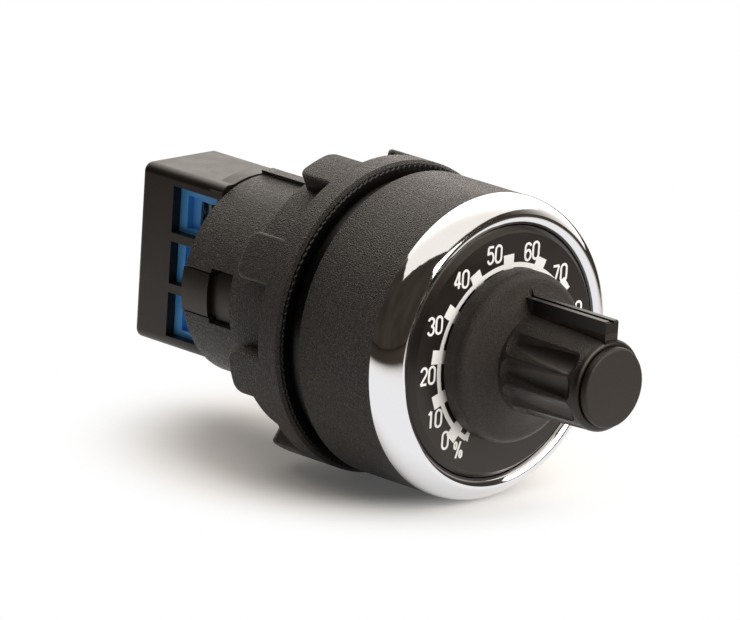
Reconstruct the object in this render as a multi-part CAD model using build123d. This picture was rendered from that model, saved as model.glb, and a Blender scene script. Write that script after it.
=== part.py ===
"""Rotary potentiometer for a panel: knob and dial in front, nut behind the panel, terminal box at the rear.

The axis of rotation is Y and the knob points to -Y. +Z is up. The origin lies on the axis, in the plane of
the head's rear rim, which is where the front of the panel comes. The knob is drawn at 50 % of its travel.
Angles round the axis are counted from +Z towards -X.
"""

import os
from build123d import *

# Millimetres. Fits
slip = 0.1
running = 0.05
seam = 0.15
soft_gap = 0.3
over = 1.0  # how far a cut runs past the face that it opens

# Head: a round plastic cup with a threaded neck that goes through the panel
head_radius = 14.74
head_length = 9.75
head_edge = 0.3
front_wall = 2.0
front_wall_y = -11.4
neck_radius = 11.0
neck_bore_radius = 9.95
neck_end_y = 8.9
gasket_seat_depth = 0.4
core_wall = 1.6
core_depth = 6.5
core_ribs = 10
core_rib_width = 1.2
key_width = 3.0
key_height = 1.0
seal_pocket_radius = 4.6

# Chrome bezel round the dial
bezel_lap = 0.01
bezel_bore_radius = 12.24
bezel_bulge = 0.32
bezel_bulge_y = 1.6
bezel_inner_bulge = 0.36
bezel_inner_bulge_y = 0.1
bezel_crest_radius = 13.3
bezel_crest_y = -12.65
bezel_inner_y = -12.14

# Dial
dial_radius = 12.14
dial_face_radius = 11.55
dial_face_y = -12.7
dial_rim_y = -12.1
dial_bore_radius = 4.6

# Gasket and nut
gasket_radius = 13.95
gasket_bead = 0.25
gasket_bead_y = 1.3
gasket_rear_y = 2.0
nut_flange_radius = 15.2
nut_front_y = 2.1
nut_flange_y = 5.0
nut_ring_radius = 13.4
nut_ring_y = 9.7
nut_lobe_radius = 15.2
nut_lobe_inner_radius = 12.2
nut_lobe_y = 9.15
nut_lobe_count = 8
nut_lobe_angle = 18.0
nut_lobe_start = 18.5
nut_corner_round = 1.1
nut_edge_round = 0.35

# Knob
shaft_radius = 3.0
shaft_rear_y = 11.0
shaft_front_y = -20.5
skirt_radius = 8.26
skirt_rear_y = -13.05
skirt_side = 1.3
skirt_bulge = 0.25
skirt_bulge_y = 0.68
shoulder_radius = 7.4
shoulder_y = -15.45
root_sweep = 0.95
root_sweep_y = 0.62
barrel_root_radius = 4.85
barrel_root_y = -16.7
barrel_tip_radius = 4.4
barrel_tip_y = -26.35
barrel_tip_round = 0.5
skirt_wall = 0.9
hub_radius = 4.3
flute_pairs = 4
flute_first = 56.0
flute_step = 32.0
flute_radius = 3.0
flute_depth = 0.4
flute_round = 0.9
flute_rear_y = -17.0
flute_front_y = -25.9
cap_radius = 3.85
cap_gap = 0.15
cap_lip = 0.6
cap_thickness = 0.65
cap_round = 0.35
cap_stem_radius = 2.4
cap_stem_length = 2.4
fin_width = 1.66
fin_height = 6.25
fin_front_y = -26.3
fin_rear_y = -15.0
fin_root = 2.6
fin_edge = 0.15
fin_groove_width = 0.5
fin_groove_depth = 0.2
shaft_flat_depth = 0.9
shaft_lead = 0.4

# Rear carrier: the tube that holds the potentiometer behind the panel
carrier_radius = 9.8
carrier_wall = 0.9
carrier_front_y = 3.0
carrier_rear_y = 21.1
carrier_floor = 1.6
rib_left_x = 0.1
rib_right_x = 1.6
rib_top_z = 10.2
carrier_ledge = 0.6
latch_angle = 90.5
latch_arm_half = 12.5
latch_head_half = 15.0
latch_window_half = 16.0
latch_window_front_y = 14.4
latch_shoulder_y = 17.4
latch_head_y = 15.0
latch_head_recess = 0.6
latch_arm_gap = 0.7

# Rear housing with the terminal windows
arm_root = 0.6
collar_rear_y = 23.0
box_half_width = 4.85
box_top_z = 9.2
box_bottom_z = -8.3
box_rear_y = 32.5
box_wall = 1.0
box_rear_wall = 1.2
box_corner = 0.9
box_rear_round = 0.6
window_rear_y = 28.0
window_front_y = 21.9
window_top_z = 7.75
window_bottom_z = -7.2
window_rib = 0.9
driver_hole_radius = 1.9

# Terminal block and its clamps
pole_count = 3
pole_pitch = 5.08
pole_centre_z = 0.15
board_radius = 8.7
board_front_y = 18.9
board_thickness = 1.6
block_chamfer = 0.7
entry_width = 3.3
entry_low_y = 22.5
entry_high_y = 27.0
entry_depth = 0.7
entry_wall = 1.0
wire_hole_width = 2.4
wire_hole_low_y = 23.2
wire_hole_high_y = 25.9
pole_wall = 0.6
chamber_front_y = 22.3
chamber_rear_y = 29.2
chamber_depth = 4.8
clamp_screw_x = -0.75
screw_thread_radius = 1.25
screw_head_radius = 1.8
screw_head_height = 1.1
screw_tip_y = 26.0
screw_web = 0.4
screw_slot = 0.5
cage_length = 3.3
cage_side = 0.4
cage_floor = 0.6
cage_roof = 0.8
cage_front_y = 22.5
cage_roof_y = 26.3
bar_thickness = 0.6
bar_y = 25.2
bar_leg_x = 2.3
bar_leg_width = 1.0
bar_leg_end_y = 18.0
board_hole_radius = 0.75

# Potentiometer inside the carrier
pot_radius = 8.0
pot_wall = 0.8
pot_front_wall = 1.2
pot_rear_y = 12.4
pot_cover_thickness = 0.6
bushing_radius = 3.5
bushing_front_y = -1.5
bushing_flange_radius = 4.6
bushing_flange = 0.8
hex_across_flats = 10.0
hex_thickness = 2.0
rotor_radius = 6.4
rotor_thickness = 1.4
rotor_gap = 1.2
finger_half = 0.3
finger_spread = 0.7
track_radius = 7.0
track_inner_radius = 4.0
track_thickness = 0.5
track_gap_half = 0.8
pot_pin_radius = 0.4
circlip_radius = 4.3
circlip_thickness = 0.6
circlip_y = -8.6
circlip_gap_half = 25.0
circlip_groove = 0.4
pot_pin_x = 5.2

# Sizes that follow from the ones above
bezel_radius = head_radius + bezel_lap
carrier_bore_radius = carrier_radius - carrier_wall
board_rear_y = board_front_y + board_thickness
flange_radius = carrier_bore_radius - slip
flange_front_y = board_rear_y + slip
box_front_y = carrier_rear_y + seam
block_half_width = box_half_width - box_wall - slip
block_half_height = pole_count * pole_pitch / 2
block_rear_y = box_rear_y - box_rear_wall - slip
block_face_x = -block_half_width
chamber_x = block_face_x + entry_wall
chamber_half = pole_pitch / 2 - pole_wall
screw_head_y = chamber_rear_y + screw_web + running
cage_half = chamber_half - seam
pole_steps = [(k - (pole_count - 1) / 2) * pole_pitch for k in range(pole_count)]
pole_places = [pole_centre_z + step for step in pole_steps]
pot_front_y = carrier_front_y + carrier_floor


def turned(*outline):
    """A solid of revolution about Y from (radius, y) corners."""
    return revolve(make_face(Polyline(*outline, close=True)), Axis.Y)


def tube(outer, inner, y_low, y_high):
    return turned((inner, y_low), (outer, y_low), (outer, y_high), (inner, y_high))


def disc(radius, y_low, y_high):
    return turned((0, y_low), (radius, y_low), (radius, y_high), (0, y_high))


def block(x_low, x_high, y_low, y_high, z_low, z_high):
    centre = Pos((x_low + x_high) / 2, (y_low + y_high) / 2, (z_low + z_high) / 2)
    return centre * Box(x_high - x_low, y_high - y_low, z_high - z_low)


def rod(radius, y_low, y_high, x=0, z=0):
    return Pos(x, (y_low + y_high) / 2, z) * Rot(90, 0, 0) * Cylinder(radius, y_high - y_low)


def sector(inner, outer, y_low, y_high, angle, half):
    """A piece of a tube, centred on an angle counted from +Z towards -X."""
    outline = Polyline((inner, y_low), (outer, y_low), (outer, y_high), (inner, y_high), close=True)
    return Rot(0, 270 - half - angle, 0) * revolve(make_face(outline), Axis.Y, 2 * half)


def at_angle(shape, angle):
    """Turn a shape that was drawn at +Z to an angle counted towards -X."""
    return Rot(0, -angle, 0) * shape


def head_body():
    """Cup and neck in one moulding, cored out from the rear between ribs, under the gasket."""
    rear_seat = -gasket_seat_depth
    gasket_bay = gasket_radius + slip
    inner_front_y = front_wall_y + front_wall
    body = turned(
        (neck_bore_radius, inner_front_y),
        (neck_bore_radius, neck_end_y),
        (neck_radius - head_edge, neck_end_y),
        (neck_radius, neck_end_y - head_edge),
        (neck_radius, rear_seat),
        (gasket_bay, rear_seat),
        (gasket_bay, 0),
        (head_radius - head_edge, 0),
        (head_radius, -head_edge),
        (head_radius, -head_length),
        (bezel_bore_radius, -head_length),
        (bezel_bore_radius, front_wall_y),
        (seal_pocket_radius, front_wall_y),
        (seal_pocket_radius, inner_front_y),
    )
    core = tube(head_radius - core_wall, neck_radius + core_wall / 2, rear_seat - core_depth, rear_seat)
    rib = block(-core_rib_width / 2, core_rib_width / 2, rear_seat - core_depth, rear_seat, 0, head_radius)
    for turn in range(core_ribs):
        core -= at_angle(rib, turn * 360 / core_ribs)
    key_top = neck_radius + key_height
    key = block(-key_width / 2, key_width / 2, rear_seat, gasket_rear_y, neck_bore_radius + slip, key_top)
    return body - core + (key - disc(neck_radius - slip, rear_seat - over, neck_end_y))


def chrome_bezel():
    """Rounded ring that covers the front edge of the cup."""
    outer_edge = (bezel_radius, -head_length)
    inner_edge = (bezel_bore_radius, bezel_inner_y)
    outer_bulge = (bezel_radius - bezel_bulge, -head_length - bezel_bulge_y)
    crest = (bezel_crest_radius, bezel_crest_y)
    inner_bulge = (bezel_bore_radius + bezel_inner_bulge, bezel_crest_y + bezel_inner_bulge_y)
    face = make_face(
        [
            ThreePointArc(outer_edge, outer_bulge, crest),
            ThreePointArc(crest, inner_bulge, inner_edge),
            Polyline(inner_edge, (bezel_bore_radius, -head_length), outer_edge),
        ]
    )
    return revolve(face, Axis.Y)


def scale_plate():
    """Dial disc with a sloped edge. It lies in the bezel's bore, on the front wall of the cup."""
    return turned(
        (dial_bore_radius, front_wall_y),
        (dial_radius, front_wall_y),
        (dial_radius, dial_rim_y),
        (dial_face_radius, dial_face_y),
        (dial_bore_radius, dial_face_y),
    )


def shaft_seal():
    """Lip ring that seals the shaft in the front wall."""
    inner = shaft_radius + running
    middle = front_wall_y + front_wall / 2
    inner_y = front_wall_y + front_wall
    ring = tube(seal_pocket_radius, inner + soft_gap, front_wall_y, inner_y)
    lip = turned((inner, middle), (inner + 2 * soft_gap, front_wall_y), (inner + 2 * soft_gap, inner_y))
    return ring + lip


def panel_gasket():
    """Flat rubber ring with a round bead on its outside and a notch for the neck's key."""
    ring = turned(
        (neck_radius + slip, -gasket_seat_depth),
        (gasket_radius, -gasket_seat_depth),
        (gasket_radius, gasket_bead_y),
        (gasket_radius - gasket_bead, gasket_bead_y + gasket_bead),
        (gasket_radius - gasket_bead, gasket_rear_y),
        (neck_radius + slip, gasket_rear_y),
    )
    notch = key_width / 2 + seam
    notch_top = neck_radius + key_height + seam
    return ring - block(-notch, notch, -over, gasket_rear_y + over, 0, notch_top)


def mounting_nut():
    """Ring nut with a flange against the panel and lobes for the spanner."""
    bore = neck_radius + slip
    ring = turned(
        (bore, nut_front_y),
        (nut_flange_radius - head_edge, nut_front_y),
        (nut_flange_radius, nut_front_y + head_edge),
        (nut_flange_radius, nut_flange_y - head_edge),
        (nut_flange_radius - head_edge, nut_flange_y),
        (nut_ring_radius, nut_flange_y),
        (nut_ring_radius, nut_ring_y - nut_edge_round),
        (nut_ring_radius - nut_edge_round, nut_ring_y),
        (bore, nut_ring_y),
    )
    half = nut_lobe_angle / 2
    lobe = sector(nut_lobe_inner_radius, nut_lobe_radius, nut_flange_y - head_edge, nut_lobe_y, 0, half)
    rear_corners = lobe.faces().sort_by(Axis.Y)[-1].edges().filter_by(GeomType.LINE)
    lobe = fillet(rear_corners, nut_corner_round)
    rim = lobe.faces().sort_by(Axis.Z)[-1].edges().sort_by(Axis.Y)[1:]
    lobe = fillet(rim, nut_edge_round)
    for turn in range(nut_lobe_count):
        ring += at_angle(lobe, nut_lobe_start + turn * 360 / nut_lobe_count)
    return ring


def rear_carrier():
    """Tube behind the panel, with a floor for the potentiometer, a rib on top and two latch windows."""
    bore = carrier_bore_radius
    floor_y = carrier_front_y + carrier_floor
    shell = turned(
        (bushing_radius + running, carrier_front_y),
        (carrier_radius - head_edge, carrier_front_y),
        (carrier_radius, carrier_front_y + head_edge),
        (carrier_radius, carrier_rear_y - head_edge),
        (carrier_radius - head_edge, carrier_rear_y),
        (bore, carrier_rear_y),
        (bore, board_front_y - slip),
        (bore - carrier_ledge, board_front_y - slip),
        (bore - carrier_ledge, floor_y),
        (bushing_radius + running, floor_y),
    )
    rib_low_z = bore + carrier_wall / 2
    shell += block(rib_left_x, rib_right_x, nut_ring_y + seam, carrier_rear_y, rib_low_z, rib_top_z)
    for side in (latch_angle, latch_angle + 180):
        low = bore - over
        high = carrier_radius + over
        arm_slot = latch_arm_half + latch_arm_gap
        shell -= sector(low, high, latch_window_front_y, latch_shoulder_y, side, latch_window_half)
        shell -= sector(low, high, latch_shoulder_y - over, carrier_rear_y + over, side, arm_slot)
    return shell


def rear_housing():
    """Plug in the carrier's mouth with two snap arms, a collar behind the carrier and the terminal box."""
    shell = disc(flange_radius, flange_front_y, carrier_rear_y)
    above_box = block(-box_half_width, box_half_width, box_front_y, collar_rear_y, 0, carrier_radius)
    shell += disc(carrier_radius, box_front_y, collar_rear_y) & above_box
    box = block(-box_half_width, box_half_width, flange_front_y, box_rear_y, box_bottom_z, box_top_z)
    box = fillet(box.edges().filter_by(Axis.Y), box_corner)
    box = fillet(box.faces().sort_by(Axis.Y)[-1].edges(), box_rear_round)
    shell += box - tube(2 * carrier_radius, flange_radius, flange_front_y - over, box_front_y)
    inside_x = block_half_width + slip
    inside_low = pole_centre_z - block_half_height - slip
    inside_high = pole_centre_z + block_half_height + slip
    inside_rear_y = box_rear_y - box_rear_wall
    shell -= block(-inside_x, inside_x, flange_front_y - over, inside_rear_y, inside_low, inside_high)
    opening = block(
        -box_half_width - over, 0, window_front_y, window_rear_y, window_bottom_z, window_top_z
    )
    for low_pole, high_pole in zip(pole_places[:-1], pole_places[1:]):
        rib_z = (low_pole + high_pole) / 2
        opening -= block(
            -box_half_width - 2 * over,
            over,
            window_front_y - over,
            window_rear_y + over,
            rib_z - window_rib / 2,
            rib_z + window_rib / 2,
        )
    shell -= opening
    for z in pole_places:
        shell -= rod(driver_hole_radius, block_rear_y, box_rear_y + over, clamp_screw_x, z)
    arm_inner = carrier_bore_radius + running
    arm_outer = carrier_radius - running
    head_outer = arm_outer - latch_head_recess
    for side in (latch_angle, latch_angle + 180):
        shell += sector(arm_inner, arm_outer, latch_head_y, carrier_rear_y, side, latch_arm_half)
        shell += sector(
            flange_radius - arm_root, arm_outer, flange_front_y, carrier_rear_y, side, latch_arm_half
        )
        shell += sector(
            arm_inner, head_outer, latch_head_y, latch_shoulder_y - 2 * seam, side, latch_head_half
        )
        shell -= sector(
            head_outer,
            arm_outer + over,
            latch_head_y - over,
            latch_shoulder_y + seam,
            side,
            latch_head_half + over,
        )
    return shell


def circuit_board():
    """Round board between the carrier and the rear housing."""
    board = disc(board_radius, board_front_y, board_rear_y)
    for z in pole_places:
        leg_x = bar_leg_x + bar_thickness / 2
        board -= rod(board_hole_radius, board_front_y - over, board_rear_y + over, leg_x, z)
        pin_hole = pot_pin_radius + running
        board -= rod(pin_hole, board_front_y - over, board_rear_y + over, -pot_pin_x, z / 2)
    return board


def terminal_block():
    """Moulded block with a wire entry, a clamp chamber and a screw hole for each pole."""
    z_low = pole_centre_z - block_half_height
    z_high = pole_centre_z + block_half_height
    body = block(block_face_x, block_half_width, board_rear_y, block_rear_y, z_low, z_high)
    long_edges = body.faces().sort_by(Axis.Y)[-1].edges().filter_by(Axis.Z)
    body = chamfer(long_edges, block_chamfer)
    chamber_end = chamber_x + chamber_depth
    for z in pole_places:
        half = entry_width / 2
        outside_x = block_face_x - over
        body -= block(outside_x, block_face_x + entry_depth, entry_low_y, entry_high_y, z - half, z + half)
        half = wire_hole_width / 2
        body -= block(outside_x, chamber_x + over, wire_hole_low_y, wire_hole_high_y, z - half, z + half)
        body -= block(
            chamber_x, chamber_end, chamber_front_y, chamber_rear_y, z - chamber_half, z + chamber_half
        )
        outside_y = block_rear_y + over
        body -= rod(screw_thread_radius + running, chamber_rear_y - over, outside_y, clamp_screw_x, z)
        body -= rod(screw_head_radius + slip, screw_head_y - running, outside_y, clamp_screw_x, z)
        leg_half = bar_leg_width / 2 + running
        leg_far = bar_leg_x + bar_thickness + running
        leg_top = bar_y + bar_thickness + slip
        body -= block(chamber_end - over, leg_far, board_rear_y - over, leg_top, z - leg_half, z + leg_half)
    return body


def terminal_screw(z):
    """Slotted clamp screw."""
    head_top = screw_head_y + screw_head_height
    screw = rod(screw_thread_radius, screw_tip_y, screw_head_y, clamp_screw_x, z)
    screw += rod(screw_head_radius, screw_head_y, head_top, clamp_screw_x, z)
    return screw - block(
        clamp_screw_x - screw_head_radius,
        clamp_screw_x + screw_head_radius,
        head_top - screw_slot,
        head_top + over,
        z - screw_slot / 2,
        z + screw_slot / 2,
    )


def clamp_cage(z):
    """Rising cage: the screw runs in its roof and the wire lies between its floor and the bar."""
    x_low = clamp_screw_x - cage_length / 2
    x_high = clamp_screw_x + cage_length / 2
    roof_top = cage_roof_y + cage_roof
    cage = block(x_low, x_high, cage_front_y, roof_top, z - cage_half, z + cage_half)
    inner = cage_half - cage_side
    floor_y = cage_front_y + cage_floor
    cage -= block(x_low - over, x_high + over, floor_y, cage_roof_y, z - inner, z + inner)
    return cage - rod(screw_thread_radius + running, cage_roof_y - over, roof_top + over, clamp_screw_x, z)


def contact_bar(z):
    """Tinned bar through the cage, with a leg that is soldered into the board."""
    half = cage_half - cage_side - slip
    x_low = clamp_screw_x - cage_length / 2
    leg_far = bar_leg_x + bar_thickness
    bar = block(x_low, chamber_x + chamber_depth - slip, bar_y, bar_y + bar_thickness, z - half, z + half)
    leg_half = bar_leg_width / 2
    bar += block(clamp_screw_x, leg_far, bar_y, bar_y + bar_thickness, z - leg_half, z + leg_half)
    return bar + block(bar_leg_x, leg_far, bar_leg_end_y, bar_y + slip, z - leg_half, z + leg_half)


def pot_bushing():
    """Brass bushing that carries the shaft, clamped to the carrier's floor."""
    bore = shaft_radius + running
    return turned(
        (bore, bushing_front_y),
        (bushing_radius, bushing_front_y),
        (bushing_radius, pot_front_y),
        (bushing_flange_radius, pot_front_y),
        (bushing_flange_radius, pot_front_y + bushing_flange),
        (bore, pot_front_y + bushing_flange),
    )


def pot_bushing_nut():
    hexagon = extrude(RegularPolygon(hex_across_flats / 2, 6, major_radius=False), hex_thickness)
    placed = Pos(0, carrier_front_y, 0) * Rot(90, 0, 0) * hexagon
    return placed - rod(bushing_radius + running, bushing_front_y, carrier_front_y + over)


def pot_case():
    """Cup of the potentiometer round the bushing's flange."""
    inner = pot_radius - pot_wall
    return turned(
        (bushing_flange_radius + running, pot_front_y),
        (pot_radius, pot_front_y),
        (pot_radius, pot_rear_y),
        (inner, pot_rear_y),
        (inner, pot_front_y + pot_front_wall),
        (bushing_flange_radius + running, pot_front_y + pot_front_wall),
    )


def pot_cover():
    return disc(pot_radius, pot_rear_y, pot_rear_y + pot_cover_thickness)


def resistive_track():
    """Ring of resistive ink with a gap at the bottom, on the inside of the cover."""
    ring = tube(track_radius, track_inner_radius, pot_rear_y - track_thickness, pot_rear_y)
    return ring - block(-track_gap_half, track_gap_half, 0, pot_rear_y + over, -track_radius - over, 0)


def pot_pin(z):
    """Pin from the potentiometer's cover to the board."""
    return rod(pot_pin_radius, pot_rear_y + pot_cover_thickness, board_rear_y, -pot_pin_x, z)


def pot_shaft():
    """Shaft with a flat for the knob and a groove for the circlip."""
    shaft = rod(shaft_radius, shaft_front_y, shaft_rear_y)
    shaft = chamfer(shaft.edges().sort_by(Axis.Y)[0], shaft_lead)
    groove_end = circlip_y + circlip_thickness + slip
    groove = tube(shaft_radius + over, shaft_radius - circlip_groove, circlip_y, groove_end)
    side = shaft_radius + over
    flat = block(-side, side, shaft_front_y - over, skirt_rear_y, shaft_radius - shaft_flat_depth, side)
    return shaft - groove - flat


def shaft_circlip():
    """Open ring in the shaft's groove, behind the front wall."""
    y = circlip_y + slip / 2
    inner = shaft_radius - circlip_groove + running
    ring = tube(circlip_radius, inner, y, y + circlip_thickness)
    end_y = y + circlip_thickness
    return ring - sector(0, circlip_radius + over, y - over, end_y + over, 180, circlip_gap_half)


def wiper_rotor():
    """Rotor on the shaft with two contact fingers that reach to just short of the track."""
    y = pot_front_y + bushing_flange + rotor_gap
    reach = pot_rear_y - track_thickness - running
    rotor = tube(rotor_radius, shaft_radius + running, y, y + rotor_thickness)
    middle = (track_radius + track_inner_radius) / 2
    for radius in (middle - finger_spread, middle + finger_spread):
        rotor += block(-finger_half, finger_half, y, reach, radius - finger_half, radius + finger_half)
    return rotor


def knob():
    """Drum-like skirt, tapered fluted barrel and a straight pointer fin, moulded in one."""
    side_y = skirt_rear_y - skirt_side
    outer = make_face(
        [
            Polyline((0, skirt_rear_y), (skirt_radius, skirt_rear_y), (skirt_radius, side_y)),
            ThreePointArc(
                (skirt_radius, side_y),
                (skirt_radius - skirt_bulge, side_y - skirt_bulge_y),
                (shoulder_radius, shoulder_y),
            ),
            ThreePointArc(
                (shoulder_radius, shoulder_y),
                (barrel_root_radius + root_sweep, barrel_root_y + root_sweep_y),
                (barrel_root_radius, barrel_root_y),
            ),
            Polyline(
                (barrel_root_radius, barrel_root_y),
                (barrel_tip_radius, barrel_tip_y),
                (0, barrel_tip_y),
                (0, skirt_rear_y),
            ),
        ]
    )
    tip_corner = outer.vertices().group_by(Axis.Y)[0].sort_by(Axis.X)[-1]
    body = revolve(fillet(tip_corner, barrel_tip_round), Axis.Y)
    flute = knob_flute()
    for turn in range(flute_pairs):
        angle = flute_first + turn * flute_step
        body -= at_angle(flute, angle)
        body -= at_angle(flute, -angle)
    half = fin_width / 2
    fin = block(-half, half, fin_front_y, fin_rear_y, fin_root, fin_height)
    fin = chamfer(fin.faces().sort_by(Axis.Y)[0].edges().filter_by(Axis.X), fin_edge)
    body += fin
    groove_half = fin_groove_width / 2
    groove_low = fin_height - fin_groove_depth
    groove_high = fin_height + over
    body -= block(-groove_half, groove_half, fin_front_y - over, shoulder_y - seam, groove_low, groove_high)
    roof_y = shoulder_y + skirt_wall + seam
    body -= turned(
        (hub_radius, skirt_rear_y),
        (skirt_radius - skirt_wall, skirt_rear_y),
        (skirt_radius - skirt_wall, side_y),
        (shoulder_radius - skirt_wall, roof_y),
        (hub_radius, roof_y),
    )
    bore = rod(shaft_radius + running, shaft_front_y - slip, skirt_rear_y + over)
    side = shaft_radius + over
    flat_z = shaft_radius - shaft_flat_depth + running
    bore -= block(-side, side, shaft_front_y - over, skirt_rear_y + over, flat_z, side)
    body -= bore
    return body - rod(cap_stem_radius + running, barrel_tip_y - over, barrel_tip_y + cap_stem_length + slip)


def knob_flute():
    """Cutter for one flute: a round bar laid along the taper, with rounded ends."""
    taper = (barrel_root_radius - barrel_tip_radius) / (barrel_root_y - barrel_tip_y)
    rear_radius = barrel_root_radius - taper * (barrel_root_y - flute_rear_y)
    front_radius = barrel_root_radius - taper * (barrel_root_y - flute_front_y)
    offset = flute_radius - flute_depth
    rear_end = Vector(0, flute_rear_y, rear_radius + offset)
    front_end = Vector(0, flute_front_y, front_radius + offset)
    length = (front_end - rear_end).length
    bar = Cylinder(flute_radius, length, align=(Align.CENTER, Align.CENTER, Align.MIN))
    bar = fillet(bar.edges().filter_by(GeomType.CIRCLE), flute_round)
    return Plane(origin=rear_end, z_dir=front_end - rear_end) * bar


def knob_cap():
    """Round end cap that closes the front of the barrel."""
    rear_y = barrel_tip_y - cap_gap
    front_y = rear_y - cap_thickness
    cap = disc(cap_radius, front_y, rear_y)
    cap = fillet(cap.edges().sort_by(Axis.Y)[0], cap_round)
    neck = disc(cap_radius - cap_lip, rear_y, barrel_tip_y)
    stem = rod(cap_stem_radius, rear_y, barrel_tip_y + cap_stem_length)
    return cap + neck + stem


def save(name, shape):
    export_step(shape, f"parts/{name}.step")


os.makedirs("parts", exist_ok=True)
save("head_body", head_body())
save("chrome_bezel", chrome_bezel())
save("scale_plate", scale_plate())
save("shaft_seal", shaft_seal())
save("panel_gasket", panel_gasket())
save("mounting_nut", mounting_nut())
save("rear_carrier", rear_carrier())
save("rear_housing", rear_housing())
save("circuit_board", circuit_board())
save("terminal_block", terminal_block())
save("pot_bushing", pot_bushing())
save("pot_bushing_nut", pot_bushing_nut())
save("pot_case", pot_case())
save("pot_cover", pot_cover())
save("resistive_track", resistive_track())
save("pot_shaft", pot_shaft())
save("shaft_circlip", shaft_circlip())
save("wiper_rotor", wiper_rotor())
save("knob", knob())
save("knob_cap", knob_cap())
for number, place in enumerate(pole_places, 1):
    save(f"terminal_screw_{number}", terminal_screw(place))
    save(f"clamp_cage_{number}", clamp_cage(place))
    save(f"contact_bar_{number}", contact_bar(place))
    save(f"pot_pin_{number}", pot_pin(place / 2))
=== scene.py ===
# %% [markdown]
# A rotary potentiometer lies on a pale floor: a knob over a printed dial, a chrome bezel, a ring nut, and a
# terminal box at the rear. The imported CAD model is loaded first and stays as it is. This file adds what the
# CAD model leaves out: the print on the dial, the gasket's toothed lip, every finish, the light and the
# camera.
# %% Load the frame
import bpy
import math
import numpy as np
from mathutils import Matrix, Vector


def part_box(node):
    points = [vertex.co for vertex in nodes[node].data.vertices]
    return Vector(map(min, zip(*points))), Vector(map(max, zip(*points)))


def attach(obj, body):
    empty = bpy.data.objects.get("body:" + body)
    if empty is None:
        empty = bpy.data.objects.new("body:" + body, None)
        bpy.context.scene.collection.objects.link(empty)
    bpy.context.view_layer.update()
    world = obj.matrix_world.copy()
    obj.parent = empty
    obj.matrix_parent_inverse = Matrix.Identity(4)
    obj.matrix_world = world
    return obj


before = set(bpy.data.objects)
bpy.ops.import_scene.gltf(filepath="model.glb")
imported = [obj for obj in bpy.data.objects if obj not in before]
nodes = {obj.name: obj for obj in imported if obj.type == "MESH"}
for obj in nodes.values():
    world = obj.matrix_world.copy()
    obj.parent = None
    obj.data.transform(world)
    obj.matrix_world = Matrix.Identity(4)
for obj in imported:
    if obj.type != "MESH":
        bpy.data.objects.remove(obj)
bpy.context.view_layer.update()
print("CAD nodes:", len(nodes))

# %% [markdown]
# Everything round the axis is measured from it. The axis is Y, the knob points to -Y and +Z is the dial's
# 50 mark. Sizes below are metres, and those that belong to a CAD piece are read from that piece's box, so
# the print stays on the dial if the dial changes.
# %% Sizes read from the frame
MM = 0.001


def low_high(node):
    """The lowest and highest corner of a CAD node as two arrays."""
    low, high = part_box(node)
    return np.array(low), np.array(high)


dial_front_y = low_high("scale_plate")[0][1]
nut_radius = low_high("mounting_nut")[1][0]
gasket_radius = low_high("panel_gasket")[1][0]
nut_front_y = low_high("mounting_nut")[0][1]
print("dial face at y =", round(dial_front_y / MM, 2), "mm")

# %% [markdown]
# A mesh here is a grid of points worked out as whole numpy arrays: rows run along the shape and columns go
# round its section. One function numbers the grid's faces and another makes the Blender mesh, so that no
# piece has a loop over its vertices. Where the grid is closed round, the last column joins the first.
# %% Grid to mesh


def grid_faces(rows, columns, closed):
    """Quad corner numbers for a rows x columns grid: each quad joins a point, the next in its row,
    and the two below them. A closed grid joins the last column to the first."""
    start = np.arange(rows - 1)[:, None] * columns
    here = np.arange(columns if closed else columns - 1)[None, :]
    right = (here + 1) % columns
    below = start + columns
    quads = np.stack([start + here, start + right, below + right, below + here], -1)
    return quads.reshape(-1, 4)


def new_piece(name, points, faces, finish, body):
    """A mesh object from points and faces that rides on a body."""
    mesh = bpy.data.meshes.new(name)
    mesh.from_pydata(points, [], [list(map(int, face)) for face in faces])
    mesh.update()
    mesh.materials.append(finish)
    piece = bpy.data.objects.new(name, mesh)
    bpy.context.collection.objects.link(piece)
    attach(piece, body)
    return piece


# %% [markdown]
# Shader maths reads best as plain expressions. The first class below wraps an output socket, and the usual
# signs add the Math nodes that they mean, so that `1 - mask` or `height * 0.5` is a small node tree. The
# second class holds a node tree and adds any other node to it. A finish is such a tree round one shader,
# and the floor and the world use the same class further down.
# %% Shader maths as expressions


class Wire:
    """An output socket with + - * and comparison written as Math nodes."""

    def __init__(self, owner, socket):
        self.owner = owner
        self.socket = socket

    def maths(self, operation, first, second):
        return self.owner.node("ShaderNodeMath", {"operation": operation}, (first, second))

    def __add__(self, other):
        return self.maths("ADD", self, other)

    def __radd__(self, other):
        return self.maths("ADD", other, self)

    def __sub__(self, other):
        return self.maths("SUBTRACT", self, other)

    def __rsub__(self, other):
        return self.maths("SUBTRACT", other, self)

    def __mul__(self, other):
        return self.maths("MULTIPLY", self, other)

    def __rmul__(self, other):
        return self.maths("MULTIPLY", other, self)

    def __pow__(self, other):
        return self.maths("POWER", self, other)

    def __gt__(self, other):
        return self.maths("GREATER_THAN", self, other)


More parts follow.
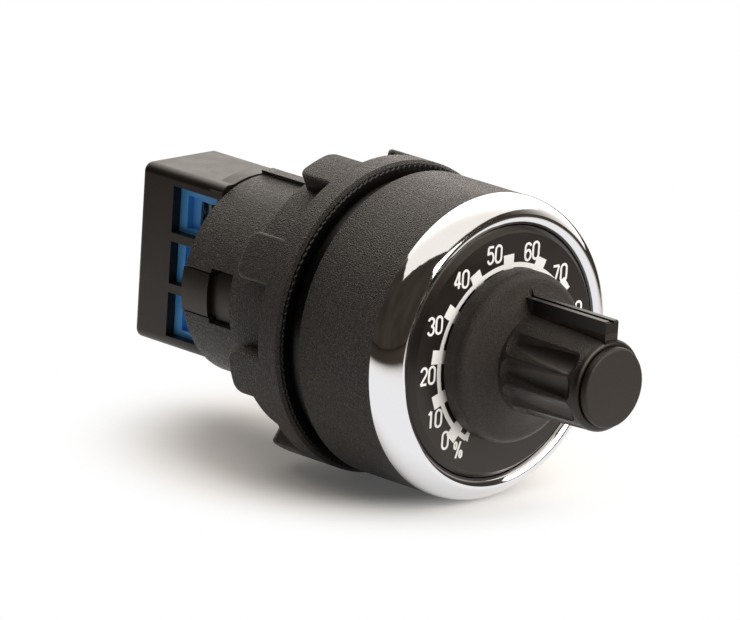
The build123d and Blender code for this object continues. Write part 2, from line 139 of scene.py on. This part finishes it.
class ShaderTree:
    """A node tree with one method that adds any node."""

    def __init__(self, tree):
        self.tree = tree

    def node(self, kind, settings, inputs=(), output=0):
        """Adds a node: its settings first, then values or links for its inputs, by number or by name."""
        made = self.tree.nodes.new(kind)
        for key, value in settings.items():
            setattr(made, key, value)
        pairs = inputs.items() if isinstance(inputs, dict) else enumerate(inputs)
        for key, value in pairs:
            if isinstance(value, Wire):
                self.tree.links.new(value.socket, made.inputs[key])
            else:
                made.inputs[key].default_value = value
        return Wire(self, made.outputs[output]) if made.outputs else None

    def fade(self, value, start, end, low=0.0, high=1.0):
        """The low value up to start, the high value past end, and a smooth step between."""
        return self.node(
            "ShaderNodeMapRange", {"interpolation_type": "SMOOTHSTEP"},
            {"Value": value, "From Min": start, "From Max": end, "To Min": low, "To Max": high})

    def blend(self, share, first, second):
        """A colour mix by a share from 0 to 1."""
        return self.node("ShaderNodeMix", {"data_type": "RGBA"}, {0: share, 6: first, 7: second}, output=2)


class Finish(ShaderTree):
    """A material with one Principled shader, whose patterns read Object coordinates."""

    def __init__(self, name, **constants):
        self.material = bpy.data.materials.new(name)
        self.material.use_nodes = True
        super().__init__(self.material.node_tree)
        self.shader = self.tree.nodes["Principled BSDF"]
        for socket, value in constants.items():
            self.shader.inputs[socket.replace("_", " ")].default_value = value
        self.place = self.node("ShaderNodeTexCoord", {}, output="Object")

    def noise(self, size, detail=2.0, roughness=0.5, place=None):
        """Cloud noise whose lumps are about size metres across."""
        return self.node(
            "ShaderNodeTexNoise", {},
            {"Vector": place or self.place, "Scale": 1 / size, "Detail": detail, "Roughness": roughness})

    def cells(self, size, output=0):
        """Scattered points about size metres apart: output 0 is the distance to the nearest of them, and
        output 1 its random colour."""
        inputs = {"Vector": self.place, "Scale": 1 / size}
        return self.node("ShaderNodeTexVoronoi", {}, inputs, output=output)

    def axes(self, place=None):
        """The three coordinates, or a colour's three parts, as separate values."""
        parts = self.node("ShaderNodeSeparateXYZ", {}, (place or self.place,)).socket.node.outputs
        return [Wire(self, part) for part in parts]

    def off_axis(self):
        """Distance from the turning axis."""
        x, y, z = self.axes()
        return (x * x + z * z) ** 0.5

    def bump(self, height, depth):
        """Feeds Normal from a height of 0 to 1 that stands for depth metres."""
        self.feed("Normal", self.node("ShaderNodeBump", {}, {"Height": height, "Distance": depth}))

    def feed(self, socket, wire):
        self.tree.links.new(wire.socket, self.shader.inputs[socket])


def rgb(red, green, blue):
    """A colour as it looks on screen, 0 to 255, turned into the linear values that shaders use."""
    share = np.array([red, green, blue]) / 255
    linear = np.where(share <= 0.04045, share / 12.92, ((share + 0.055) / 1.055) ** 2.4)
    return (*map(float, linear), 1.0)


def shaded(colour, share):
    """A colour with its three parts multiplied by a share."""
    return tuple(part * share for part in colour[:3]) + (1.0,)


# %% [markdown]
# The head, nut and carrier come from a mould with a spark-eroded wall. Such a wall leaves fine irregular
# pits, a seventh of a millimetre across, and each pit turns its own little face to the light. Cell noise
# gives the pits, each with a random gloss and a random shade of its own, and cloud noise gives the finer
# grain. The lighter shades are painted highlights, standing in for the light that the pits' faces catch.
# The plastic is a slightly warm black, and most of what is seen of it is sheen, so the sheen is warm too.
# %% Spark-textured plastic
GRAIN = 0.14 * MM
SHEEN = 0.5
SHEEN_TINT = (1.0, 0.9, 0.82, 1.0)
SPARK_BLACK = rgb(8, 6, 5)


def black_plastic(name, roughness):
    """A finish with the sheen that all the black mouldings share."""
    return Finish(name, Roughness=roughness, Specular_IOR_Level=SHEEN, Specular_Tint=SHEEN_TINT)


def spark(finish):
    """The height of a spark-eroded wall and a random value for each of its pits."""
    pits = finish.cells(GRAIN)
    chance = finish.axes(finish.cells(GRAIN, output=1))[0]
    return pits * 0.7 + finish.noise(GRAIN * 0.5, 3.0, 0.6) * 0.6, chance


def spark_plastic(name, painted_glint, roughness, depth):
    """Each pit has a random value: nearly half of the pits are smoother, and their colour is painted
    lighter than the base, up to the given light colour, as painted highlights on the pit faces."""
    finish = black_plastic(name, roughness)
    height, chance = spark(finish)
    finish.bump(height, depth)
    patches = finish.noise(4 * MM, 3.0)
    finish.feed("Roughness", roughness + (patches - 0.5) * 0.1 - finish.fade(chance, 0.55, 0.85) * 0.16)
    # Painted highlights: the lighter pits are colour that stands in for the light their faces catch.
    finish.feed("Base Color", finish.blend(finish.fade(chance, 0.55, 0.9), SPARK_BLACK, painted_glint))
    return finish


# The second colour of each finish is the colour of the painted highlights on the lighter pits.
head_finish = spark_plastic("head_spark_plastic", rgb(38, 31, 26), roughness=0.42, depth=0.16 * MM)
nut_finish = spark_plastic("nut_spark_plastic", rgb(34, 28, 24), roughness=0.44, depth=0.13 * MM)
carrier_finish = spark_plastic("carrier_spark_plastic", rgb(34, 28, 23), roughness=0.43, depth=0.14 * MM)

# %% [markdown]
# The terminal box comes from a plain mould: satin, with faint flow marks and a few scuffs. The knob has
# both: spark texture on its skirt and on the ridges of the barrel, and a smoother wall in the flutes and on
# the fin. A mask from the distance to the axis and the place along it keeps the two apart.
# %% Satin plastic of the terminal box and the knob
SKIRT_END = (-16.9 * MM, -16.5 * MM)
RIDGE_FOOT = (4.32 * MM, 4.5 * MM)
RIDGE_TOP = 5.1 * MM


def satin_plastic(name, base, roughness, grain_depth):
    """Fine grain, scuffs in the roughness, and flow marks that darken the base to seven tenths."""
    finish = black_plastic(name, roughness)
    grain = finish.noise(0.12 * MM, 3.0, 0.6)
    finish.bump(grain, grain_depth)
    scuffs = finish.noise(1.6 * MM, 5.0, 0.65)
    finish.feed("Roughness", roughness + (scuffs - 0.5) * 0.22)
    flow = finish.noise(6 * MM, 2.0)
    finish.feed("Base Color", finish.blend(flow, shaded(base, 0.7), base))
    return finish


box_finish = satin_plastic("box_satin_plastic", rgb(24, 19, 15), roughness=0.4, grain_depth=0.01 * MM)


def knob_plastic():
    """The rough wall is the skirt, or the part of the barrel that lies between the flutes' floor and the
    fin."""
    finish = black_plastic("knob_plastic", 0.5)
    y = finish.axes()[1]
    skirt = finish.fade(y, *SKIRT_END)
    radius = finish.off_axis()
    ridge = finish.fade(radius, *RIDGE_FOOT) * (1 - (radius > RIDGE_TOP))
    rough_wall = finish.node("ShaderNodeMath", {"operation": "MAXIMUM"}, (skirt, ridge))
    height, chance = spark(finish)
    finish.bump(height * rough_wall + finish.noise(0.1 * MM, 2.0) * 0.15, 0.09 * MM)
    finish.feed("Roughness", 0.36 + rough_wall * 0.08 + (finish.noise(1.5 * MM, 4.0) - 0.5) * 0.12)
    # Painted highlights: pits on the rough wall are painted lighter at random, standing in for light their
    # faces catch.
    painted_highlight_share = finish.fade(chance, 0.45, 1.0) * rough_wall
    finish.feed("Base Color", finish.blend(painted_highlight_share, rgb(11, 9, 8), rgb(38, 32, 28)))
    return finish


knob_finish = knob_plastic()
cap_finish = satin_plastic("cap_plastic", rgb(31, 27, 24), roughness=0.5, grain_depth=0.02 * MM)

# %% [markdown]
# The bezel is plated plastic. Chrome is a metal with almost no roughness, so what it shows is the studio
# round it. A faint waviness and a thin uneven film keep the reflections from being perfect.
# %% Chrome


def chrome():
    finish = Finish("bezel_chrome", Metallic=1.0, Roughness=0.05, Base_Color=rgb(232, 232, 234))
    finish.bump(finish.noise(3.0 * MM, 2.0), 0.012 * MM)
    film = finish.noise(1.2 * MM, 4.0, 0.7)
    finish.feed("Roughness", 0.035 + film * 0.05)
    return finish


chrome_finish = chrome()

# %% [markdown]
# Smaller finishes: the dial's satin face, rubber, blue terminal plastic, circuit board, and the metals of
# the clamps, the bushing and the shaft.
# %% Dial, rubber, blue plastic, board and metals


def dial_plastic():
    finish = black_plastic("dial_satin", 0.34)
    finish.bump(finish.noise(0.15 * MM, 3.0), 0.004 * MM)
    specks = finish.fade(finish.noise(0.35 * MM, 4.0, 0.7), 0.66, 0.74)
    finish.feed("Roughness", 0.3 + finish.noise(2.5 * MM, 4.0) * 0.12)
    finish.feed("Base Color", finish.blend(specks, rgb(25, 21, 19), rgb(40, 36, 33)))
    return finish


def rubber():
    finish = Finish("gasket_rubber", Roughness=0.3, Specular_IOR_Level=0.2)
    finish.bump(finish.noise(0.8 * MM, 3.0), 0.01 * MM)
    finish.feed("Roughness", 0.22 + finish.noise(1.2 * MM, 3.0) * 0.2)
    finish.feed("Base Color", finish.blend(finish.noise(2 * MM), rgb(7, 7, 7), rgb(12, 11, 11)))
    return finish


def blue_plastic():
    finish = Finish("terminal_blue", Roughness=0.4)
    finish.bump(finish.noise(0.2 * MM, 3.0), 0.006 * MM)
    finish.feed("Roughness", 0.34 + finish.noise(1.0 * MM, 3.0) * 0.14)
    finish.feed("Base Color", finish.blend(finish.noise(3 * MM), rgb(78, 168, 252), rgb(104, 186, 255)))
    return finish


def board():
    finish = Finish("board_green", Roughness=0.3)
    weave = finish.noise(0.3 * MM, 2.0)
    finish.bump(weave, 0.005 * MM)
    finish.feed("Base Color", finish.blend(weave, rgb(18, 84, 48), rgb(34, 110, 62)))
    return finish


def metal(name, colour, roughness, streak):
    """Turned metal: fine streaks round the axis, from noise that is squeezed to an eighth along Y."""
    finish = Finish(name, Metallic=1.0, Roughness=roughness)
    x, y, z = finish.axes()
    squeezed = finish.node("ShaderNodeCombineXYZ", {}, (x, y * 8.0, z))
    lines = finish.noise(streak, 2.0, place=squeezed)
    finish.feed("Roughness", roughness + (lines - 0.5) * 0.2)
    finish.bump(lines, 0.004 * MM)
    finish.feed("Base Color", finish.blend(lines, shaded(colour, 0.82), colour))
    return finish


dial_finish = dial_plastic()
rubber_finish = rubber()
blue_finish = blue_plastic()
board_finish = board()
steel_finish = metal("zinc_steel", rgb(196, 196, 192), roughness=0.32, streak=0.4 * MM)
tin_finish = metal("tinned_metal", rgb(214, 213, 206), roughness=0.28, streak=0.6 * MM)
brass_finish = metal("bushing_brass", rgb(200, 166, 92), roughness=0.28, streak=0.4 * MM)
track_finish = satin_plastic("track_ink", rgb(20, 20, 20), roughness=0.7, grain_depth=0.01 * MM)
pot_finish = satin_plastic("pot_case_plastic", rgb(86, 70, 52), roughness=0.5, grain_depth=0.01 * MM)

# %% [markdown]
# Each CAD node takes its finish by name. A node that the photograph never shows gets one as well, because
# the part may be opened up or seen from another side.
# %% Finish every CAD node
finish_of = {
    "head_body": head_finish,
    "chrome_bezel": chrome_finish,
    "scale_plate": dial_finish,
    "shaft_seal": rubber_finish,
    "panel_gasket": rubber_finish,
    "mounting_nut": nut_finish,
    "rear_carrier": carrier_finish,
    "rear_housing": box_finish,
    "circuit_board": board_finish,
    "terminal_block": blue_finish,
    "pot_bushing": brass_finish,
    "pot_bushing_nut": brass_finish,
    "pot_case": pot_finish,
    "pot_cover": tin_finish,
    "resistive_track": track_finish,
    "pot_shaft": steel_finish,
    "shaft_circlip": steel_finish,
    "wiper_rotor": pot_finish,
    "knob": knob_finish,
    "knob_cap": cap_finish,
    "terminal_screw": steel_finish,
    "clamp_cage": tin_finish,
    "contact_bar": tin_finish,
    "pot_pin": tin_finish,
}
for name, node in nodes.items():
    kind = name.rstrip("0123456789").rstrip("_")
    node.data.materials.clear()
    node.data.materials.append(finish_of[kind].material)
print("finishes:", len(finish_of))

# %% [markdown]
# The print on the dial is a film of white ink: an arc, a block at every 10 % of travel, and numbers. The
# ink has a thickness of two hundredths of a millimetre, so that it has an edge of its own and never lies in
# the same plane as the dial. Travel is 27 degrees for each 10 %, clockwise, with 50 % at the top. The
# photograph's print sits a little off the middle and is turned by a small angle, and this one is as well.
# %% Ink and the dial's measures
INK = 0.02 * MM
COAT = 0.004 * MM
DEGREES_PER_TEN = 27.0
ARC_RADIUS = 8.7 * MM
ARC_WIDTH = 0.48 * MM
ARC_END = 146.5
TICK_INNER = 7.6 * MM
TICK_OUTER = 9.78 * MM
TICK_WIDTH = 1.3 * MM
TICK_FLARE = np.array([0.94, 0.98, 1.02, 1.06])
END_WIDTHS = np.array([0.2, 0.5, 0.8]) * MM
END_OVERLAP = 0.15 * MM
PRINT_MIDDLE = np.array([0.15, -0.24]) * MM
PRINT_TURN = -1.9


def ink():
    finish = Finish("dial_ink", Roughness=0.45)
    finish.bump(finish.noise(0.12 * MM, 2.0), 0.004 * MM)
    worn = finish.noise(0.5 * MM, 4.0, 0.65)
    finish.feed("Base Color", finish.blend(worn, rgb(244, 246, 248), rgb(253, 253, 254)))
    return finish


ink_finish = ink()


def on_dial(right, up, lift):
    """Points on the dial from a place to the right and up, as seen from the front, and a height."""
    right, up, lift = np.broadcast_arrays(right, up, lift)
    return np.stack([right, dial_front_y - lift, up], -1)


def ribbon(path, width, coat=0):
    """A flat band of ink along a path of (right, up) points. Each coat is a little higher than the last.

    The band's section is a rectangle: half the width to each side of the path, across its direction, and
    the ink's thickness in height. The direction at a point is the difference of its neighbours."""
    path = np.asarray(path, float)
    along = np.gradient(path, axis=0)
    along /= np.linalg.norm(along, axis=1, keepdims=True)
    across = np.stack([along[:, 1], -along[:, 0]], -1) * (np.asarray(width) / 2).reshape(-1, 1)
    left, right = path - across, path + across
    low = np.zeros(len(path))
    high = low + INK + coat * COAT
    corners = [
        on_dial(left[:, 0], left[:, 1], low),
        on_dial(right[:, 0], right[:, 1], low),
        on_dial(right[:, 0], right[:, 1], high),
        on_dial(left[:, 0], left[:, 1], high),
    ]
    return np.stack(corners, 1)


def band_mesh(section_grids):
    """Joins several closed rectangular bands into one list of points and faces, with their ends closed."""
    points, faces, start = [], [], 0
    for grid in section_grids:
        rows = len(grid)
        points.append(grid.reshape(-1, 3))
        faces.extend(grid_faces(rows, 4, True)[:, ::-1] + start)
        faces.append(np.array([0, 1, 2, 3]) + start)
        faces.append(np.array([3, 2, 1, 0]) + start + 4 * (rows - 1))
        start += rows * 4
    return np.concatenate(points), faces


def round_dial(angle_degrees, radius):
    """A place on the dial from an angle clockwise from the top and a radius: the middle of the print plus
    the radius times the sine and cosine of the turned angle."""
    turn = np.radians(angle_degrees + PRINT_TURN)
    return np.stack([np.sin(turn) * radius, np.cos(turn) * radius], -1) + PRINT_MIDDLE


# %% [markdown]
# Each tick is a short ribbon that runs outwards along a radius and grows a little wider. At both ends of
# the arc a wedge points inwards. Ticks and wedges are a second coat, a touch higher than the arc, so that
# their tops don't lie in the arc's plane where they cross it.
# %% Arc and ticks
arc_angles = np.linspace(-ARC_END, ARC_END, 181)
bands = [ribbon(round_dial(arc_angles, ARC_RADIUS), ARC_WIDTH)]
tick_radii = np.linspace(TICK_INNER, TICK_OUTER, len(TICK_FLARE))
for mark in range(11):
    angle = DEGREES_PER_TEN * (mark - 5)
    bands.append(ribbon(round_dial(angle, tick_radii), TICK_WIDTH * TICK_FLARE, 1))
end_radii = np.linspace(TICK_INNER, ARC_RADIUS + END_OVERLAP, len(END_WIDTHS))
for angle in (-ARC_END, ARC_END):
    bands.append(ribbon(round_dial(angle, end_radii), END_WIDTHS, 1))
points, faces = band_mesh(bands)
new_piece("dial_scale", points, faces, ink_finish.material, "head")
print("scale bands:", len(bands))

# %% [markdown]
# The numbers are narrow, upright and of one stroke width. Each is drawn as a pen would draw it: a path made
# of straight runs and arcs inside a box that is one unit high, and a ribbon of ink along that path. An arc
# is written as its centre, its two half-axes and its first and last angle.
# %% Numerals
DIGIT_HEIGHT = 1.63 * MM
DIGIT_WIDTH = 0.46
STROKE = 0.24 * MM
DIGIT_STEP = 0.64


def arc(right, up, half_width, half_height, first, last, count=14):
    """Points of an ellipse's arc: centre plus half-axes times cosine and sine of the angle in degrees."""
    turn = np.radians(np.linspace(first, last, count))
    return np.stack([right + half_width * np.cos(turn), up + half_height * np.sin(turn)], -1)


def run(*corners):
    """A polyline with a few points on each of its runs."""
    corners = np.array(corners, float)
    steps = np.linspace(0, 1, 6)[:, None]
    pairs = zip(corners[:-1], corners[1:])
    return np.concatenate([start + (end - start) * steps for start, end in pairs])


def joined(*paths):
    """Several paths drawn as one stroke."""
    return np.concatenate(paths)


wide = DIGIT_WIDTH
half = DIGIT_WIDTH / 2
strokes_of = {
    "0": [
        joined(arc(half, 0.75, half, 0.25, 0, 180), arc(half, 0.25, half, 0.25, 180, 360), [[wide, 0.75]]),
    ],
    "1": [
        run((half * 0.3, 0.8), (half * 1.15, 1.0)),
        run((half * 1.15, 1.0), (half * 1.15, 0.0)),
    ],
    "2": [
        joined(arc(half, 0.74, half, 0.26, 170, -30), run((wide * 0.9, 0.58), (0.0, 0.02))),
        run((0.0, 0.02), (wide, 0.02)),
    ],
    "3": [
        arc(half, 0.76, half * 0.95, 0.24, 160, -90),
        arc(half, 0.26, half, 0.26, 90, -165),
    ],
    "4": [
        run((wide * 0.72, 1.0), (0.0, 0.28)),
        run((0.0, 0.28), (wide * 1.1, 0.28)),
        run((wide * 0.74, 1.0), (wide * 0.74, 0.0)),
    ],
    "5": [
        run((wide * 0.95, 0.98), (wide * 0.08, 0.98)),
        run((wide * 0.1, 0.98), (wide * 0.04, 0.52)),
        arc(half, 0.32, half, 0.32, 130, -160),
    ],
    "6": [
        joined(arc(half, 0.75, half, 0.25, 20, 180), run((0.0, 0.75), (0.0, 0.28))),
        arc(half, 0.3, half, 0.3, -180, 180, 24),
    ],
    "7": [
        run((0.0, 0.98), (wide, 0.98)),
        run((wide, 0.98), (wide * 0.35, 0.0)),
    ],
    "8": [
        arc(half, 0.77, half * 0.9, 0.23, -90, 270, 24),
        arc(half, 0.27, half, 0.27, -90, 270, 24),
    ],
    "9": [
        arc(half, 0.7, half, 0.3, 0, 360, 24),
        joined(run((wide, 0.72), (wide, 0.25)), arc(half, 0.25, half, 0.25, 0, -160)),
    ],
    "%": [
        arc(0.12, 0.78, 0.1, 0.19, 0, 360, 18),
        arc(0.56, 0.22, 0.1, 0.19, 0, 360, 18),
        run((0.52, 0.98), (0.16, 0.02)),
    ],
}


def written(text, right, up):
    """Bands of ink for a text whose middle is at a place on the dial, written upright."""
    middle = np.array([right, up]) * MM
    step = DIGIT_STEP * DIGIT_HEIGHT
    width = (len(text) - 1) * step + DIGIT_WIDTH * DIGIT_HEIGHT
    made = []
    for place, sign in enumerate(text):
        corner = middle + np.array([place * step - width / 2, -DIGIT_HEIGHT / 2])
        for coat, path in enumerate(strokes_of[sign]):
            made.append(ribbon(corner + path * DIGIT_HEIGHT, STROKE, coat))
    return made


# Each text with the place of its middle, right and up of the axis, in millimetres.
number_places = [
    ("0", -7.14, -7.4), ("10", -8.74, -5.1), ("20", -9.97, -0.75), ("30", -9.42, 4.0),
    ("40", -6.29, 7.97), ("50", -2.1, 9.8), ("60", 2.88, 9.46), ("70", 6.84, 6.74),
    ("80", 9.15, 2.78), ("90", 9.9, -1.61), ("100", 8.5, -5.8), ("%", -5.53, -8.6),
]
bands = []
for text, right, up in number_places:
    bands += written(text, right, up)
points, faces = band_mesh(bands)
new_piece("dial_numbers", points, faces, ink_finish.material, "head")
print("numeral strokes:", len(bands))

# %% [markdown]
# Behind the gasket's bead a flat rubber lip lies on the nut, and its edge is cut into fine teeth that catch
# a little light. It is one closed ring: the section is an oval, drawn out to the teeth on its outer side,
# and the section is turned about the axis.
# %% Toothed lip of the gasket
TEETH = 128
TOOTH_HEIGHT = 0.12 * MM
LIP_INNER = gasket_radius - 0.3 * MM
LIP_REACH = nut_radius - gasket_radius - 0.12 * MM
LIP_MIDDLE_Y = nut_front_y - 0.16 * MM
LIP_HALF_THICKNESS = 0.14 * MM
TOOTH_SHARPNESS = 2.2


def tooth_wave(turn):
    """A rounded square wave from 0 to 1: the tanh of a sine that runs once for each tooth."""
    return 0.5 + 0.5 * np.tanh(TOOTH_SHARPNESS * np.sin(turn * TEETH)) / np.tanh(TOOTH_SHARPNESS)


def toothed_lip(rows, columns):
    """For the turn t and the section angle a, the radius is the inner radius plus the reach and the tooth's
    height times the outward part of cos a, and y is half the lip's thickness times sin a."""
    turns = np.linspace(0, 2 * np.pi, rows, endpoint=False)
    angles = np.linspace(0, 2 * np.pi, columns, endpoint=False)
    turn, around = np.meshgrid(turns, angles, indexing="ij")
    outward = np.maximum(np.cos(around), 0)
    radius = LIP_INNER + outward * (LIP_REACH + TOOTH_HEIGHT * tooth_wave(turn))
    y = LIP_MIDDLE_Y + LIP_HALF_THICKNESS * np.sin(around)
    points = np.stack([radius * np.sin(turn), y, radius * np.cos(turn)], -1)
    faces = grid_faces(rows + 1, columns, True) % (rows * columns)
    return points.reshape(-1, 3), faces[:, ::-1]


points, faces = toothed_lip(TEETH * 8, 12)
new_piece("gasket_lip", points, faces, rubber_finish.material, "head")
print("teeth:", TEETH)

# %% [markdown]
# The floor is one plane under the nut's flange, which is the widest round piece. It is a sheet of pale
# paper that the lamps light, and the object's shadow lies on it. Away from the shadow the camera sees it
# fade to plain white. Reflections see the same white, but only as far as the paper goes: 5 to 12 cm out it
# ends on a dark table, which keeps the sides of the black mouldings dark and which the camera never sees.
# All of this hangs on the distance from the middle of the shadow, so it is two smooth steps of one value.
# %% Floor
FLOOR_HALF = 1.5
FLOOR_GAP = 0.02 * MM
floor_z = -nut_radius - FLOOR_GAP
PAPER = (0.93, 0.91, 0.89, 1.0)
TABLE = (0.04, 0.033, 0.027, 1.0)
SHADOW_MIDDLE = (0.002, 0.008, floor_z)
SHADOW_REACH = (0.0135, 0.029)
# Painted light: even at the shadow's middle this share of white emission lightens the cast shadow.
SHADOW_LIFT = 0.07
PAPER_REACH = (0.045, 0.12)


def floor_material():
    """Paper, mixed with white light by a share: the white's own share away from the shadow, times 1 for
    the camera, or times the paper's share for a reflection."""
    material = bpy.data.materials.new("floor_paper")
    material.use_nodes = True
    material.node_tree.nodes.clear()
    ground = ShaderTree(material.node_tree)
    place = ground.node("ShaderNodeTexCoord", {}, output="Object")
    between = {"operation": "DISTANCE"}
    away = ground.node("ShaderNodeVectorMath", between, (place, SHADOW_MIDDLE), output="Value")
    on_paper = ground.fade(away, *PAPER_REACH, low=1.0, high=0.0)
    camera_ray = ground.node("ShaderNodeLightPath", {}, output="Is Camera Ray")
    glossy_ray = ground.node("ShaderNodeLightPath", {}, output="Is Glossy Ray")
    seen = ground.node("ShaderNodeMath", {"operation": "MAXIMUM"}, (camera_ray, glossy_ray * on_paper))
    # Painted light: the white emission lightens the shadow's core, and past SHADOW_REACH it paints over the
    # rest of the cast shadow.
    white_share = ground.fade(away, *SHADOW_REACH, low=SHADOW_LIFT) * seen
    lit = ground.node("ShaderNodeBsdfDiffuse", {}, {"Color": ground.blend(on_paper, TABLE, PAPER)})
    white = ground.node("ShaderNodeEmission", {})
    both = ground.node("ShaderNodeMixShader", {}, (white_share, lit, white))
    ground.node("ShaderNodeOutputMaterial", {}, {"Surface": both})
    return material


corners = [(x * FLOOR_HALF, y * FLOOR_HALF, floor_z) for x, y in ((-1, -1), (1, -1), (1, 1), (-1, 1))]
floor_mesh = bpy.data.meshes.new("floor")
floor_mesh.from_pydata(corners, [], [(0, 1, 2, 3)])
floor_mesh.materials.append(floor_material())
floor = bpy.data.objects.new("floor", floor_mesh)
bpy.context.collection.objects.link(floor)
print("floor at z =", round(floor_z / MM, 2), "mm")

# %% [markdown]
# The object lies in a dark room in front of a paper sweep that rises behind it, to the right and overhead.
# So the world is bright on that side, and dark and warm elsewhere with faint clouds for the room's clutter,
# and that is what the chrome shows. The camera itself sees plain white all round. Two soft boxes light the
# object: a large one overhead, and one at the front on the right.
# %% World and lamps
ROOM = (0.012, 0.01, 0.008, 1.0)
ROOM_LIGHT = (0.075, 0.06, 0.048, 1.0)
SWEEP = (1.9, 1.8, 1.7, 1.0)
TOWARDS_SWEEP = (0.66, 0.66, 0.35)
SWEEP_EDGE = (0.2, 1.0)
SWEEP_FALL = 2.2
ROOM_CLUTTER = {"Scale": 2.5, "Detail": 3.0}
WARM = (1.0, 0.945, 0.885)


def studio_world():
    """World colour by direction: the share of the way from the room to the sweep is a smooth step in the
    direction's part towards the sweep, raised to a power."""
    world = bpy.data.worlds.new("studio")
    bpy.context.scene.world = world
    world.use_nodes = True
    world.node_tree.nodes.clear()
    sky = ShaderTree(world.node_tree)
    direction = sky.node("ShaderNodeTexCoord", {}, output="Generated")
    clutter = sky.node("ShaderNodeTexNoise", {}, {"Vector": direction, **ROOM_CLUTTER})
    room = sky.blend(clutter, ROOM, ROOM_LIGHT)
    along = {"operation": "DOT_PRODUCT"}
    toward = sky.node("ShaderNodeVectorMath", along, (direction, TOWARDS_SWEEP), output="Value")
    shade = sky.blend(sky.fade(toward, *SWEEP_EDGE) ** SWEEP_FALL, room, SWEEP)
    lit = sky.node("ShaderNodeBackground", {}, {"Color": shade})
    white = sky.node("ShaderNodeBackground", {}, {"Color": (1.0, 1.0, 1.0, 1.0)})
    camera_ray = sky.node("ShaderNodeLightPath", {}, output="Is Camera Ray")
    both = sky.node("ShaderNodeMixShader", {}, (camera_ray, lit, white))
    sky.node("ShaderNodeOutputWorld", {}, {"Surface": both})


def soft_box(name, place, width, height, power):
    """A rectangular lamp at a place, turned towards the origin."""
    light = bpy.data.lights.new(name, "AREA")
    light.color = WARM
    light.shape = "RECTANGLE"
    light.size, light.size_y = width, height
    light.energy = power
    lamp = bpy.data.objects.new(name, light)
    lamp.location = place
    lamp.rotation_euler = (-Vector(place)).to_track_quat("-Z", "Y").to_euler()
    bpy.context.collection.objects.link(lamp)


studio_world()
soft_box("top_box", place=(0.07, 0.05, 0.4), width=0.8, height=0.8, power=2.1)
soft_box("front_box", place=(0.14, -0.48, 0.22), width=0.5, height=0.36, power=3.0)
print("lamps:", len(bpy.data.lights))

# %% [markdown]
# The camera was worked out from the photograph by fitting circles of known radius round the axis. It looks
# down by 15 degrees from the front left through a long lens, and it is rolled by a few degrees. The focal
# length is given in pixels of an image 740 pixels wide, and Blender wants it in millimetres of its sensor.
# %% Camera
AZIMUTH = math.radians(-45.21)
ELEVATION = math.radians(14.99)
ROLL = math.radians(3.49)
DISTANCE = 0.8
FOCAL_PIXELS = 8460.5
IMAGE_WIDTH = 740
SENSOR_WIDTH = 36.0
SHIFT_RIGHT = -3.67 * MM
SHIFT_UP = 1.15 * MM


def photo_camera():
    """The camera's axes are back, right and up: back points from the object to the camera, and the roll
    turns the other two about it."""
    flat = math.cos(ELEVATION)
    back = Vector((math.sin(AZIMUTH) * flat, -math.cos(AZIMUTH) * flat, math.sin(ELEVATION)))
    level = Vector((math.cos(AZIMUTH), math.sin(AZIMUTH), 0))
    upright = back.cross(level)
    right = math.cos(ROLL) * level + math.sin(ROLL) * upright
    up = math.cos(ROLL) * upright - math.sin(ROLL) * level
    data = bpy.data.cameras.new("camera")
    data.sensor_width = SENSOR_WIDTH
    data.lens = FOCAL_PIXELS / IMAGE_WIDTH * SENSOR_WIDTH
    data.clip_start, data.clip_end = 0.01, 20.0
    camera = bpy.data.objects.new("camera", data)
    turn = Matrix((right, up, back)).transposed().to_4x4()
    spot = right * SHIFT_RIGHT + up * SHIFT_UP + back * DISTANCE
    camera.matrix_world = Matrix.Translation(spot) @ turn
    bpy.context.collection.objects.link(camera)
    bpy.context.scene.camera = camera


photo_camera()
bpy.context.scene.view_settings.view_transform = "Standard"
print("lens:", round(bpy.context.scene.camera.data.lens, 1), "mm")
